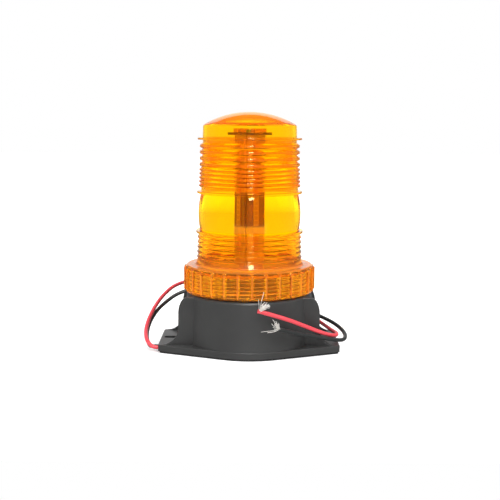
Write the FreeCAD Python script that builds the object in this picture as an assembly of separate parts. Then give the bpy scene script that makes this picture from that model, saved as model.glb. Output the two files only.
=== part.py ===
"""Amber warning light: a screw-on Fresnel lens over a column of LED boards, on a two-ear base.

Millimetres, +Z up. The origin is the middle of the underside, on the axis of the lens.
The front faces -Y, and the two mounting ears lie along X.
"""

import FreeCAD, Part
import math
import os

Vector = FreeCAD.Vector

# Mounting pad
pad_thickness = 1.2
pad_inset = 0.8

# Base housing
ear_width = 43.0
ear_corner_radius = 2.0
flange_thickness = 4.0
flange_edge_radius = 0.6
drum_height = 35.2
drum_draft = 2.44
drum_wall = 2.8
drum_roof = 2.5
drum_edge_radius = 2.5
drum_ledge = 3.0
neck_diameter = 74.0
neck_wall = 2.8
neck_height = 13.6
gusset_thickness = 2.5
gusset_edge_radius = 0.5
gusset_drop = 1.0
gusset_toe_margin = 1.8
gusset_flare_radius = 11.0
gusset_straight = 9.2
gusset_brow_inset = 5.6
slot_width = 5.5
slot_length = 12.0
slot_root_margin = 1.5
slot_end_margin = 2.0

# Lens moulding
seal_thickness = 2.0
seal_width = 3.4
shoulder_thickness = 2.0
collar_wall = 2.0
collar_foot_gap = 0.5
collar_lip_height = 0.4
collar_lip_inset = 0.3
collar_edge = 1.0
thread_space = 1.6
grip_count = 30
grip_width = 2.0
grip_height = 1.4
grip_top_slope = 0.7
grip_foot_slope = 0.7
grip_phase = 8.5
lens_step = 3.2
lens_draft = 1.73
lens_wall = 2.9
foot_height = 2.5
lower_foot_margin = 0.85
lower_rib_count = 5
lower_rib_pitch = 3.15
lower_rib_gap = 1.45
lower_rib_depth = 1.1
lower_rib_margin = 1.1
rim_thickness = 1.4
rim_proud = 1.0
belt_height = 23.6
belt_root = 1.5
belt_bulge = 1.3
groove_height = 2.2
fine_rib_count = 5
fine_rib_pitch = 2.5
fine_rib_gap = 0.2
fine_rib_depth = 1.2
coarse_rib_count = 4
coarse_rib_pitch = 3.85
coarse_rib_gap = 0.3
coarse_rib_depth = 1.8
upper_rib_margin = 1.9
crown_rim_thickness = 1.2
crown_rim_proud = 1.5
crown_height = 8.6
crown_inset = 2.0
crown_wall = 2.0
dome_edge = 1.0
dome_rise = 7.6
dome_wall = 2.3

# Boards and light column
board_thickness = 1.6
board_recess = 5.0
board_clearance = 0.4
board_ledge_width = 4.7
board_ledge_thickness = 2.2
board_screw_inset = 2.2
column_turn = 30.0
column_drop = 5.2
led_board_count = 4
led_board_thickness = 1.2
led_board_offset = 6.3
led_board_corner_gap = 0.1
led_count = 4
led_length = 14.5
led_width = 3.5
led_height = 0.8
led_gap = 3.7
led_top_margin = 4.5
top_board_diameter = 28.0
top_led_count = 4
top_led_size = 5.0
top_led_height = 2.4
top_led_circle_diameter = 16.0
post_diameter = 5.2
capacitor_diameter = 10.0
capacitor_length = 14.0
capacitor_spot = (15.2, 12.2)
inductor_diameter = 11.0
inductor_height = 8.0
inductor_waist_diameter = 8.8
inductor_flange = 1.6
inductor_spot = (-3.4, 16.9)
controller_size = (6.0, 5.0, 1.7)
controller_spot = (13.5, -13.5)
switch_size = (6.6, 6.1, 2.3)
switch_spot = (2.5, -17.5)
diode_size = (4.6, 2.8, 2.2)
diode_spot = (14.5, -4.5)
terminal_length = 8.0
terminal_height = 10.0
terminal_wall = 1.6
terminal_bore_depth = 6.0

# Bottom cover
cover_thickness = 2.0
cover_recess = 3.4
cover_clearance = 0.3
cover_boss_radius = 4.0
cover_boss_embed = 0.7
cover_boss_count = 4
cover_boss_turn = 70.0
grommet_margin = 1.8
grommet_reach = 5.0
grommet_lip = 1.4
grommet_lip_thickness = 1.2

# Screws
screw_head_ratio = 1.9
screw_head_height_ratio = 0.65
screw_clearance = 0.1
cover_screw_diameter = 3.0
cover_screw_length = 10.0
board_screw_diameter = 2.5
board_screw_length = 8.0
board_screw_count = 4
post_screw_diameter = 2.5
post_screw_grip = 6.0
screw_end_space = 0.8

# Leads
lead_diameter = 2.5
lead_gap = 0.3
lead_clearance = 0.1
lead_groove_depth = 3.0
lead_groove_side = 0.3
lead_exit_y = -16.5
lead_exit_run = 3.6
lead_drop_x = -14.0
lead_bend_radius = 9.0
strand_root_radius = 0.8
strand_root_length = 2.0
strand_tip_radius = 2.0
strand_length = 6.0
arc_share = 0.45

red_lead_route = [
    (-64.0, -15.8, 5.6),
    (-66.3, -6.8, 7.9),
    (-67.1, 3.9, 10.8),
    (-66.1, 15.1, 15.2),
    (-63.0, 25.3, 21.2),
    (-58.0, 33.3, 27.3),
    (-50.5, 40.7, 32.8),
    (-36.5, 45.8, 35.4),
    (-21.0, 48.0, 34.0),
    (-4.0, 49.0, 30.5),
    (13.0, 48.5, 25.5),
    (29.5, 45.0, 18.5),
    (42.5, 37.0, 11.8),
    (50.5, 25.0, 8.4),
    (54.8, 12.0, 7.4),
    (57.4, -1.0, 8.2),
    (54.8, -13.0, 9.4),
    (46.0, -23.5, 13.6),
    (34.0, -32.5, 20.3),
    (20.5, -40.5, 27.0),
    (5.4, -45.0, 32.0),
]
black_lead_route = [
    (-63.2, -12.2, 2.0),
    (-66.1, -2.6, 4.9),
    (-66.9, 8.1, 8.3),
    (-65.5, 17.9, 12.8),
    (-62.3, 26.6, 17.3),
    (-57.2, 33.4, 21.4),
    (-49.5, 38.6, 26.6),
    (-36.5, 41.6, 30.2),
    (-22.0, 43.8, 29.4),
    (-5.5, 44.5, 26.5),
    (11.0, 43.5, 22.8),
    (27.0, 39.8, 19.0),
    (40.5, 32.5, 15.6),
    (51.0, 23.0, 13.2),
    (58.5, 11.5, 11.0),
    (62.6, -1.0, 8.4),
    (61.0, -13.0, 6.6),
    (51.5, -21.5, 9.2),
    (40.0, -29.5, 13.2),
    (28.6, -37.4, 16.6),
    (17.7, -43.8, 20.7),
]
red_strand_lean = (4.5, -0.8, 6.5)
black_strand_lean = (-1.5, -0.8, 6.0)

# Levels and radii worked out from the sizes above
flange_top = pad_thickness + flange_thickness
drum_top = pad_thickness + drum_height
neck_radius = neck_diameter / 2
neck_bore = neck_radius - neck_wall
neck_top = drum_top + neck_height
drum_top_radius = neck_radius + drum_ledge
drum_slope = math.tan(math.radians(drum_draft))
drum_foot_radius = drum_top_radius + drum_height * drum_slope
roof_under = drum_top - drum_roof
slot_center = drum_foot_radius + slot_root_margin + slot_length / 2
ear_end = slot_center + slot_length / 2 + slot_end_margin

seal_top = neck_top + seal_thickness
shoulder_top = seal_top + shoulder_thickness
collar_foot = drum_top + collar_foot_gap
collar_bore = neck_radius + thread_space
collar_radius = collar_bore + collar_wall
lens_foot_radius = neck_radius - lens_step
lower_zone_start = shoulder_top + foot_height
lower_ribs_start = lower_zone_start + lower_foot_margin
lower_ribs_end = lower_ribs_start + lower_rib_count * lower_rib_pitch
lower_zone_end = lower_ribs_end + lower_rib_margin
belt_start = lower_zone_end + rim_thickness
belt_end = belt_start + belt_height
upper_rim_top = belt_end + rim_thickness
upper_zone_start = upper_rim_top + groove_height
coarse_start = upper_zone_start + fine_rib_count * fine_rib_pitch
upper_ribs_end = coarse_start + coarse_rib_count * coarse_rib_pitch
upper_zone_end = upper_ribs_end + upper_rib_margin
crown_rim_top = upper_zone_end + crown_rim_thickness
crown_top = crown_rim_top + crown_height
dome_top = crown_top + dome_rise

board_seat = neck_top - board_recess
board_top = board_seat + board_thickness
board_radius = neck_bore - board_clearance
board_screw_radius = board_radius - board_screw_inset
led_board_width = 2 * (led_board_offset - led_board_corner_gap)
top_board_top = crown_top - column_drop
top_board_bottom = top_board_top - board_thickness
cover_bottom = pad_thickness + cover_recess
cover_top = cover_bottom + cover_thickness
lead_radius = lead_diameter / 2
lead_level = pad_thickness + lead_groove_depth / 2
lead_spacing = lead_diameter + lead_gap
red_exit_y = lead_exit_y - lead_spacing / 2
black_exit_y = lead_exit_y + lead_spacing / 2
up = Vector(0, 0, 1)
eighth_turn = math.pi / 4
tolerance = 1e-6


def cavity_radius(z):
    """Inside radius of the drum, which follows the draft of its outside."""
    return drum_foot_radius - drum_wall - (z - pad_thickness) * drum_slope


cover_radius = cavity_radius(cover_top) - cover_clearance
cover_boss_circle = cavity_radius(cover_top) - cover_boss_radius + cover_boss_embed


def cylinder(radius, bottom, top, x=0.0, y=0.0):
    """Upright cylinder between two levels."""
    return Part.makeCylinder(radius, top - bottom, Vector(x, y, bottom))


def block(length, width, bottom, top, x=0.0, y=0.0):
    """Upright block centred on x and y."""
    corner = Vector(x - length / 2, y - width / 2, bottom)
    return Part.makeBox(length, width, top - bottom, corner)


def turned(shape, degrees):
    """A copy of a shape, turned about the axis of the lens."""
    copy = shape.copy()
    copy.rotate(Vector(0, 0, 0), up, degrees)
    return copy


def on_circle(radius, count, first_degrees):
    """Points spaced evenly round the axis."""
    points = []
    for i in range(count):
        angle = math.radians(first_degrees + 360.0 * i / count)
        points.append((radius * math.cos(angle), radius * math.sin(angle)))
    return points


def polyline(points):
    """Straight edges through (radius, height) points in the XZ plane."""
    corners = [Vector(r, 0, z) for r, z in points]
    return [Part.makeLine(a, b) for a, b in zip(corners, corners[1:])]


def revolved(edges):
    """Solid of revolution about the axis from a closed run of edges."""
    face = Part.Face(Part.Wire(edges))
    return face.revolve(Vector(0, 0, 0), up, 360)


def slot_cutter(x, bottom, top):
    """Round-ended bolt slot that runs along X."""
    half_straight = (slot_length - slot_width) / 2
    middle = block(2 * half_straight, slot_width, bottom, top, x)
    left = cylinder(slot_width / 2, bottom, top, x - half_straight)
    right = cylinder(slot_width / 2, bottom, top, x + half_straight)
    return middle.multiFuse([left, right]).removeSplitter()


def flange_plate(inset, bottom, top):
    """Oval plate: the drum's circle joined by tangents to the square ends of the two ears."""
    radius = drum_foot_radius - inset
    end = ear_end - inset
    half_width = ear_width / 2 - inset
    angle = math.atan2(half_width, end) + math.acos(radius / math.hypot(end, half_width))
    touch_x = radius * math.cos(angle)
    touch_y = radius * math.sin(angle)

    def line(x1, y1, x2, y2):
        return Part.makeLine(Vector(x1, y1, bottom), Vector(x2, y2, bottom))

    def arc(x1, y1, y_middle, x2, y2):
        return Part.Arc(Vector(x1, y1, bottom), Vector(0, y_middle, bottom), Vector(x2, y2, bottom)).toShape()

    edges = [
        line(end, -half_width, end, half_width),
        line(end, half_width, touch_x, touch_y),
        arc(touch_x, touch_y, radius, -touch_x, touch_y),
        line(-touch_x, touch_y, -end, half_width),
        line(-end, half_width, -end, -half_width),
        line(-end, -half_width, -touch_x, -touch_y),
        arc(-touch_x, -touch_y, -radius, touch_x, -touch_y),
        line(touch_x, -touch_y, end, -half_width),
    ]
    plate = Part.Face(Part.Wire(edges)).extrude(Vector(0, 0, top - bottom))
    uprights = [e for e in plate.Edges if is_upright(e)]
    corners = [e for e in uprights if abs(abs(e.CenterOfMass.x) - end) < tolerance]
    return plate.makeFillet(ear_corner_radius, corners)


def is_upright(edge):
    """True for an edge whose two ends lie above each other."""
    first = edge.Vertexes[0].Point
    last = edge.Vertexes[-1].Point
    return abs(first.x - last.x) + abs(first.y - last.y) < tolerance


def is_free_edge(edge, brow_x):
    """True for an edge of a gusset's side face on its brow, upright or flare."""
    across = abs(edge.Vertexes[0].Point.y - edge.Vertexes[-1].Point.y)
    middle = edge.CenterOfMass
    return across < tolerance and middle.x > brow_x and middle.z > flange_top + tolerance


def gusset():
    """Side plate of an ear: a rounded brow, an upright edge and a flare down to the ear."""
    reach = ear_end - gusset_toe_margin - gusset_flare_radius
    root = drum_top_radius - drum_wall - gusset_brow_inset
    bottom = flange_top - flange_thickness / 2
    top = drum_top - gusset_drop
    toe = reach + gusset_flare_radius
    brow_x = reach - gusset_brow_inset
    straight_start = flange_top + gusset_flare_radius
    straight_end = straight_start + gusset_straight
    y = ear_width / 2 - gusset_thickness

    def at(x, z):
        return Vector(x, y, z)

    flare_middle = at(
        toe - gusset_flare_radius * math.cos(eighth_turn),
        straight_start - gusset_flare_radius * math.sin(eighth_turn),
    )
    brow_ellipse = Part.Ellipse(at(brow_x, top), at(reach, straight_end), at(brow_x, straight_end))
    brow = Part.ArcOfEllipse(brow_ellipse, 0, math.pi / 2).toShape()
    edges = [
        Part.makeLine(at(root, bottom), at(toe, bottom)),
        Part.makeLine(at(toe, bottom), at(toe, flange_top)),
        Part.Arc(at(toe, flange_top), flare_middle, at(reach, straight_start)).toShape(),
        Part.makeLine(at(reach, straight_start), at(reach, straight_end)),
        brow,
        Part.makeLine(at(brow_x, top), at(root, top)),
        Part.makeLine(at(root, top), at(root, bottom)),
    ]
    plate = Part.Face(Part.Wire(edges)).extrude(Vector(0, gusset_thickness, 0))
    free_edges = [e for e in plate.Edges if is_free_edge(e, brow_x)]
    return plate.makeFillet(gusset_edge_radius, free_edges)


def base_housing():
    """One moulding: oval flange, drafted drum, four gussets and the threaded neck that carries the lens."""
    drum = Part.makeCone(drum_foot_radius, drum_top_radius, drum_height, Vector(0, 0, pad_thickness))
    rim = [e for e in drum.Edges if abs(e.CenterOfMass.z - drum_top) < tolerance]
    drum = drum.makeFillet(drum_edge_radius, rim)
    plate = flange_plate(0.0, pad_thickness, flange_top)
    plate_rim = [e for e in plate.Edges if abs(e.CenterOfMass.z - flange_top) < tolerance]
    plate = plate.makeFillet(flange_edge_radius, plate_rim)
    right_rear = gusset()
    right_front = right_rear.mirror(Vector(0, 0, 0), Vector(0, 1, 0))
    left_rear = right_rear.mirror(Vector(0, 0, 0), Vector(1, 0, 0))
    left_front = right_front.mirror(Vector(0, 0, 0), Vector(1, 0, 0))
    neck = cylinder(neck_radius, roof_under, neck_top)
    body = plate.multiFuse([drum, neck, right_rear, right_front, left_rear, left_front])

    cavity = Part.makeCone(
        cavity_radius(pad_thickness),
        cavity_radius(roof_under),
        roof_under - pad_thickness,
        Vector(0, 0, pad_thickness),
    )
    body = body.cut(cavity.fuse(cylinder(neck_bore, roof_under, neck_top)))

    ledge_inner = neck_bore - board_ledge_width
    ledge_bottom = board_seat - board_ledge_thickness
    ledge = cylinder(neck_bore + neck_wall / 2, ledge_bottom, board_seat)
    ledge = ledge.cut(cylinder(ledge_inner, ledge_bottom, board_seat))
    boss_bottom = board_seat - board_screw_length
    additions = [ledge]
    board_boss_radius = neck_bore - board_screw_radius + neck_wall / 2
    for x, y in on_circle(board_screw_radius, board_screw_count, 0):
        additions.append(cylinder(board_boss_radius, boss_bottom, board_seat, x, y))
    for x, y in on_circle(cover_boss_circle, cover_boss_count, cover_boss_turn):
        additions.append(cylinder(cover_boss_radius, cover_top, roof_under + drum_roof / 2, x, y))
    body = body.multiFuse(additions)

    cuts = [slot_cutter(slot_center, 0, drum_top), slot_cutter(-slot_center, 0, drum_top)]
    groove_width = 2 * (lead_spacing / 2 + lead_radius + lead_groove_side)
    groove_outer = -ear_end - lead_groove_side
    groove_inner = lead_drop_x - lead_bend_radius
    groove_middle = (groove_outer + groove_inner) / 2
    groove_length = groove_inner - groove_outer
    groove_top = pad_thickness + lead_groove_depth
    cuts.append(block(groove_length, groove_width, 0, groove_top, groove_middle, lead_exit_y))
    board_hole = board_screw_diameter / 2 + screw_clearance
    for x, y in on_circle(board_screw_radius, board_screw_count, 0):
        cuts.append(cylinder(board_hole, boss_bottom, neck_top, x, y))
    cover_hole = cover_screw_diameter / 2 + screw_clearance
    hole_top = cover_bottom + cover_screw_length + screw_end_space
    for x, y in on_circle(cover_boss_circle, cover_boss_count, cover_boss_turn):
        cuts.append(cylinder(cover_hole, cover_bottom, hole_top, x, y))
    for cut in cuts:
        body = body.cut(cut)
    return body.removeSplitter()


def mounting_pad():
    """Soft gasket under the flange, open in the middle for the bottom cover."""
    pad = flange_plate(pad_inset, 0, pad_thickness)
    pad = pad.cut(cylinder(cavity_radius(pad_thickness), 0, pad_thickness))
    pad = pad.cut(slot_cutter(slot_center, 0, pad_thickness))
    return pad.cut(slot_cutter(-slot_center, 0, pad_thickness))


def lens_line(z):
    """Radius of the rib crests at a height: the moulding's draft narrows it upwards."""
    return lens_foot_radius - (z - shoulder_top) * math.tan(math.radians(lens_draft))


def ribs(start, count, pitch, gap, depth):
    """Ridges upwards with plain wall between: (radius, height) points at foot, crest and foot of each."""
    points = []
    half_width = (pitch - gap) / 2
    for i in range(count):
        middle = start + (i + 0.5) * pitch
        points.append((lens_line(middle - half_width) - depth, middle - half_width))
        points.append((lens_line(middle), middle))
        points.append((lens_line(middle + half_width) - depth, middle + half_width))
    return points


def cap_arc(rim_radius, rim_z, top_z):
    """Arc of a shallow dome from its rim to the axis."""
    rise = top_z - rim_z
    sphere = (rim_radius ** 2 + rise ** 2) / (2 * rise)
    half_angle = math.asin(rim_radius / sphere) / 2
    middle_z = top_z - sphere * (1 - math.cos(half_angle))
    middle = Vector(sphere * math.sin(half_angle), 0, middle_z)
    return Part.Arc(Vector(rim_radius, 0, rim_z), middle, Vector(0, 0, top_z)).toShape()


def lens():
    """One amber moulding: grip collar, flat shoulder, two ribbed zones round a clear belt, crown and dome."""
    lip_radius = collar_radius - collar_lip_inset
    lip_top = collar_foot + collar_lip_height
    foot_radius = lens_line(lower_zone_start)
    collar_points = [
        (collar_bore, collar_foot),
        (lip_radius, collar_foot),
        (lip_radius, lip_top),
        (collar_radius, lip_top + collar_lip_inset),
        (collar_radius, shoulder_top - collar_edge),
        (collar_radius - collar_edge, shoulder_top),
        (foot_radius + foot_height, shoulder_top),
    ]
    fillet_bow = foot_height * (1 - math.cos(eighth_turn))
    foot_fillet = Part.Arc(
        Vector(foot_radius + foot_height, 0, shoulder_top),
        Vector(foot_radius + fillet_bow, 0, shoulder_top + fillet_bow),
        Vector(foot_radius, 0, lower_zone_start),
    ).toShape()
    lower_wall = lens_line(lower_zone_end) - lower_rib_depth
    lower_rim = lens_line(belt_start) + rim_proud
    belt_foot = (lens_line(belt_start) - belt_root, belt_start)
    belt_head = (lens_line(belt_end) - belt_root, belt_end)
    lower_points = [(foot_radius, lower_zone_start)]
    lower_points += ribs(lower_ribs_start, lower_rib_count, lower_rib_pitch, lower_rib_gap, lower_rib_depth)
    lower_points += [(lower_wall, lower_zone_end), (lower_rim, lower_zone_end)]
    lower_points += [(lower_rim, belt_start), belt_foot]
    belt_middle_radius = (belt_foot[0] + belt_head[0]) / 2 + belt_bulge
    belt = Part.Arc(
        Vector(belt_foot[0], 0, belt_start),
        Vector(belt_middle_radius, 0, (belt_start + belt_end) / 2),
        Vector(belt_head[0], 0, belt_end),
    ).toShape()
    groove_radius = lens_line(upper_zone_start) - belt_root
    crown_rim_radius = lens_line(crown_rim_top) + crown_rim_proud
    crown_radius = lens_line(crown_top) - crown_inset
    upper_rim = lens_line(belt_end) + rim_proud
    upper_wall = lens_line(upper_zone_end) - coarse_rib_depth
    upper_points = [belt_head, (upper_rim, belt_end), (upper_rim, upper_rim_top)]
    upper_points += [(groove_radius, upper_rim_top), (groove_radius, upper_zone_start)]
    upper_points += ribs(upper_zone_start, fine_rib_count, fine_rib_pitch, fine_rib_gap, fine_rib_depth)
    upper_points += ribs(coarse_start, coarse_rib_count, coarse_rib_pitch, coarse_rib_gap, coarse_rib_depth)
    upper_points += [(upper_wall, upper_zone_end), (crown_rim_radius, upper_zone_end)]
    upper_points += [(crown_rim_radius, crown_rim_top)]
    upper_points += [(lens_line(crown_rim_top) - crown_inset, crown_rim_top)]
    upper_points += [(crown_radius, crown_top - dome_edge), (crown_radius - dome_edge, crown_top)]
    dome = cap_arc(crown_radius - dome_edge, crown_top, dome_top)

    inner_rim_z = crown_top - dome_edge
    inner_rim = crown_radius - crown_wall
    inner_foot = lens_line(seal_top) - lens_wall
    inner_dome = cap_arc(inner_rim, inner_rim_z, dome_top - dome_wall)
    axis = polyline([(0, dome_top), (0, dome_top - dome_wall)])
    inner_points = [
        (inner_rim, inner_rim_z),
        (inner_foot, seal_top),
        (collar_bore, seal_top),
        (collar_bore, collar_foot),
    ]
    edges = polyline(collar_points) + [foot_fillet] + polyline(lower_points) + [belt]
    edges += polyline(upper_points) + [dome] + axis + [inner_dome] + polyline(inner_points)
    moulding = revolved(edges)

    grip_root = collar_bore + collar_wall / 2
    grip_radius = collar_radius + grip_height
    grip_bottom = lip_top + collar_lip_inset
    grip_top = shoulder_top - collar_edge
    grip_points = [
        (grip_root, grip_bottom),
        (collar_radius, grip_bottom),
        (grip_radius, grip_bottom + grip_foot_slope),
        (grip_radius, grip_top - grip_top_slope),
        (collar_radius, grip_top),
        (grip_root, grip_top),
        (grip_root, grip_bottom),
    ]
    grip = Part.Face(Part.Wire(polyline(grip_points))).extrude(Vector(0, grip_width, 0))
    grip.translate(Vector(0, -grip_width / 2, 0))
    grips = [turned(grip, grip_phase + 360.0 * i / grip_count) for i in range(grip_count)]
    return moulding.multiFuse(grips)


def lens_seal():
    """Flat ring on the rim of the neck, squeezed by the shoulder of the lens."""
    outer = neck_bore + seal_width - (seal_width - neck_wall) / 2
    ring = cylinder(outer, neck_top, seal_top)
    return ring.cut(cylinder(outer - seal_width, neck_top, seal_top))


def driver_board():
    """Round circuit board on the ledge in the neck, with holes for its screws."""
    board = cylinder(board_radius, board_seat, board_top)
    hole = board_screw_diameter / 2 + screw_clearance
    for x, y in on_circle(board_screw_radius, board_screw_count, 0):
        board = board.cut(cylinder(hole, board_seat, board_top, x, y))
    return board.cut(cylinder(post_screw_diameter / 2 + screw_clearance, board_seat, board_top))


def screw(diameter, length, seat, direction, x=0.0, y=0.0):
    """Pan-head screw whose head sits on a level and whose shank points up (1) or down (-1)."""
    head_height = diameter * screw_head_height_ratio
    head = Part.makeCylinder(
        diameter * screw_head_ratio / 2, head_height, Vector(x, y, seat), Vector(0, 0, -direction)
    )
    shank = Part.makeCylinder(diameter / 2, length, Vector(x, y, seat), Vector(0, 0, direction))
    return head.fuse(shank)


def board_screws():
    """Four screws that hold the driver board on the ledge."""
    spots = on_circle(board_screw_radius, board_screw_count, 0)
    length = board_screw_length + board_thickness - screw_end_space
    return Part.makeCompound([screw(board_screw_diameter, length, board_top, -1, x, y) for x, y in spots])


def cover_screws():
    """Four screws that hold the bottom cover against the bosses."""
    spots = on_circle(cover_boss_circle, cover_boss_count, cover_boss_turn)
    return Part.makeCompound(
        [screw(cover_screw_diameter, cover_screw_length, cover_bottom, 1, x, y) for x, y in spots]
    )


def column_post():
    """Turned standoff up the middle of the light column, tapped at both ends."""
    post = cylinder(post_diameter / 2, board_top, top_board_bottom)
    bore = post_screw_diameter / 2 + screw_clearance
    depth = post_screw_grip + screw_end_space
    post = post.cut(cylinder(bore, board_top, board_top + depth))
    return post.cut(cylinder(bore, top_board_bottom - depth, top_board_bottom))


def post_screws():
    """Screws at the foot and the head of the standoff."""
    length = post_screw_grip + board_thickness
    foot = screw(post_screw_diameter, length, board_seat, 1)
    head = screw(post_screw_diameter, length, top_board_top, -1)
    return Part.makeCompound([foot, head])


def led_board(index):
    """Upright LED board, one side of the light column."""
    middle = led_board_offset + led_board_thickness / 2
    board = block(led_board_thickness, led_board_width, board_top, top_board_bottom, middle)
    return turned(board, column_turn + 360.0 * index / led_board_count)


def led_row(index):
    """The LED bars down the outer face of one board."""
    middle = led_board_offset + led_board_thickness + led_height / 2
    bars = []
    for i in range(led_count):
        top = top_board_bottom - led_top_margin - i * (led_length + led_gap)
        bar = block(led_height, led_width, top - led_length, top, middle)
        bars.append(turned(bar, column_turn + 360.0 * index / led_board_count))
    return Part.makeCompound(bars)


def top_board():
    """Round board that closes the light column."""
    board = cylinder(top_board_diameter / 2, top_board_bottom, top_board_top)
    hole = post_screw_diameter / 2 + screw_clearance
    return board.cut(cylinder(hole, top_board_bottom, top_board_top))


def top_leds():
    """LEDs on the top board, shining up through the dome."""
    chip = block(
        top_led_size, top_led_size, top_board_top, top_board_top + top_led_height, top_led_circle_diameter / 2
    )
    steps = [column_turn + 360.0 * i / top_led_count for i in range(top_led_count)]
    return Part.makeCompound([turned(chip, step) for step in steps])


def input_capacitor():
    """Electrolytic can under the driver board."""
    return cylinder(capacitor_diameter / 2, board_seat - capacitor_length, board_seat, *capacitor_spot)


def filter_inductor():
    """Drum-core inductor under the driver board: two flanges and a wound waist."""
    bottom = board_seat - inductor_height
    radius = inductor_diameter / 2
    waist = cylinder(inductor_waist_diameter / 2, bottom, board_seat, *inductor_spot)
    upper = cylinder(radius, board_seat - inductor_flange, board_seat, *inductor_spot)
    lower = cylinder(radius, bottom, bottom + inductor_flange, *inductor_spot)
    return waist.multiFuse([upper, lower])


def driver_chips():
    """Controller, power switch and diode under the driver board."""
    chips = []
    for size, spot in (
        (controller_size, controller_spot),
        (switch_size, switch_spot),
        (diode_size, diode_spot),
    ):
        length, width, height = size
        chips.append(block(length, width, board_seat - height, board_seat, *spot))
    return Part.makeCompound(chips)


def lead_terminal():
    """Two-way terminal under the driver board that takes the two leads from below."""
    bottom = board_seat - terminal_height
    width = lead_spacing + lead_diameter + 2 * terminal_wall
    body = block(terminal_length, width, bottom, board_seat, lead_drop_x, lead_exit_y)
    bore = lead_radius + lead_clearance
    for y in (red_exit_y, black_exit_y):
        body = body.cut(cylinder(bore, bottom, bottom + terminal_bore_depth, lead_drop_x, y))
    return body


def inner_lead(y, radius):
    """Lead from the terminal down through the grommet and along the groove to the end of the left ear."""
    start = Vector(lead_drop_x, y, board_seat - terminal_height + terminal_bore_depth)
    bend_start = Vector(lead_drop_x, y, lead_level + lead_bend_radius)
    bend_end = Vector(lead_drop_x - lead_bend_radius, y, lead_level)
    inset = lead_bend_radius * (1 - math.cos(eighth_turn))
    bend_middle = Vector(lead_drop_x - inset, y, lead_level + inset)
    end = Vector(-ear_end, y, lead_level)
    path = Part.Wire(
        [
            Part.makeLine(start, bend_start),
            Part.Arc(bend_start, bend_middle, bend_end).toShape(),
            Part.makeLine(bend_end, end),
        ]
    )
    section = Part.Wire(Part.Circle(start, Vector(0, 0, -1), radius).toShape())
    return path.makePipeShell([section], True, False)


def grommet_center_x():
    """Where the middle of the leads' bend crosses the bottom cover."""
    level = (cover_bottom + cover_top) / 2
    drop = lead_level + lead_bend_radius - level
    return lead_drop_x - lead_bend_radius + math.sqrt(lead_bend_radius ** 2 - drop ** 2)


def grommet_block(margin, bottom, top):
    """Round-cornered block about the place where the leads pass the bottom cover."""
    length = grommet_reach + 2 * margin
    width = lead_spacing + lead_diameter + 2 * margin
    body = block(length, width, bottom, top, grommet_center_x(), lead_exit_y)
    uprights = [e for e in body.Edges if is_upright(e)]
    return body.makeFillet(grommet_margin, uprights)


def lead_grommet():
    """Rubber plug in the bottom cover, with a lip on each side and the two leads through it."""
    plug = grommet_block(grommet_margin, cover_bottom, cover_top)
    upper = grommet_block(grommet_margin + grommet_lip, cover_top, cover_top + grommet_lip_thickness)
    lower = grommet_block(grommet_margin + grommet_lip, cover_bottom - grommet_lip_thickness, cover_bottom)
    body = plug.multiFuse([upper, lower])
    for y in (red_exit_y, black_exit_y):
        body = body.cut(inner_lead(y, lead_radius + lead_clearance))
    return body


def bottom_cover():
    """Round plate that closes the drum, set back so that the leads can run under it."""
    plate = cylinder(cover_radius, cover_bottom, cover_top)
    hole = cover_screw_diameter / 2 + screw_clearance
    for x, y in on_circle(cover_boss_circle, cover_boss_count, cover_boss_turn):
        plate = plate.cut(cylinder(hole, cover_bottom, cover_top, x, y))
    return plate.cut(grommet_block(grommet_margin + lead_clearance, cover_bottom, cover_top))


def free_lead(name, exit_y, route):
    """Loose lead from the end of the left ear: straight runs joined by tangent arcs."""
    points = [Vector(-ear_end, exit_y, lead_level)]
    points.append(Vector(-ear_end - lead_exit_run, exit_y, lead_level))
    points += [Vector(*point) for point in route]
    edges = []
    radii = []
    start = points[0]
    for before, corner, after in zip(points, points[1:], points[2:]):
        arriving = corner - before
        leaving = after - corner
        half_turn = arriving.getAngle(leaving) / 2
        tangent_length = arc_share * min(arriving.Length, leaving.Length)
        radius = tangent_length / math.tan(half_turn)
        radii.append(radius)
        arriving.normalize()
        leaving.normalize()
        first = corner - arriving * tangent_length
        last = corner + leaving * tangent_length
        inward = leaving - arriving
        inward.normalize()
        middle = corner + inward * radius * (1 / math.cos(half_turn) - 1)
        edges.append(Part.LineSegment(start, first).toShape())
        edges.append(Part.Arc(first, middle, last).toShape())
        start = last
    edges.append(Part.LineSegment(start, points[-1]).toShape())
    path = Part.Wire(edges)
    section = Part.Wire(Part.Circle(points[0], points[1] - points[0], lead_radius).toShape())
    tube = path.makePipeShell([section], True, False)
    expected = math.pi * lead_radius ** 2 * path.Length
    print(name, "length", round(path.Length, 1), "volume ratio", round(tube.Volume / expected, 4))
    print(name, "radii", [round(radius, 1) for radius in radii])
    return tube


def bare_strands(route, lean):
    """Outer shape of the bared, frayed strands at the free end of a lead."""
    direction = Vector(*lean)
    direction.normalize()
    end = Vector(*route[-1])
    along = end - Vector(*route[-2])
    along.normalize()
    tip = end + along * strand_root_length
    core = Part.makeCylinder(strand_root_radius, strand_root_length, end, along)
    bend = Part.makeSphere(strand_root_radius, tip)
    fan = Part.makeCone(strand_root_radius, strand_tip_radius, strand_length, tip, direction)
    return core.multiFuse([bend, fan])


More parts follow.
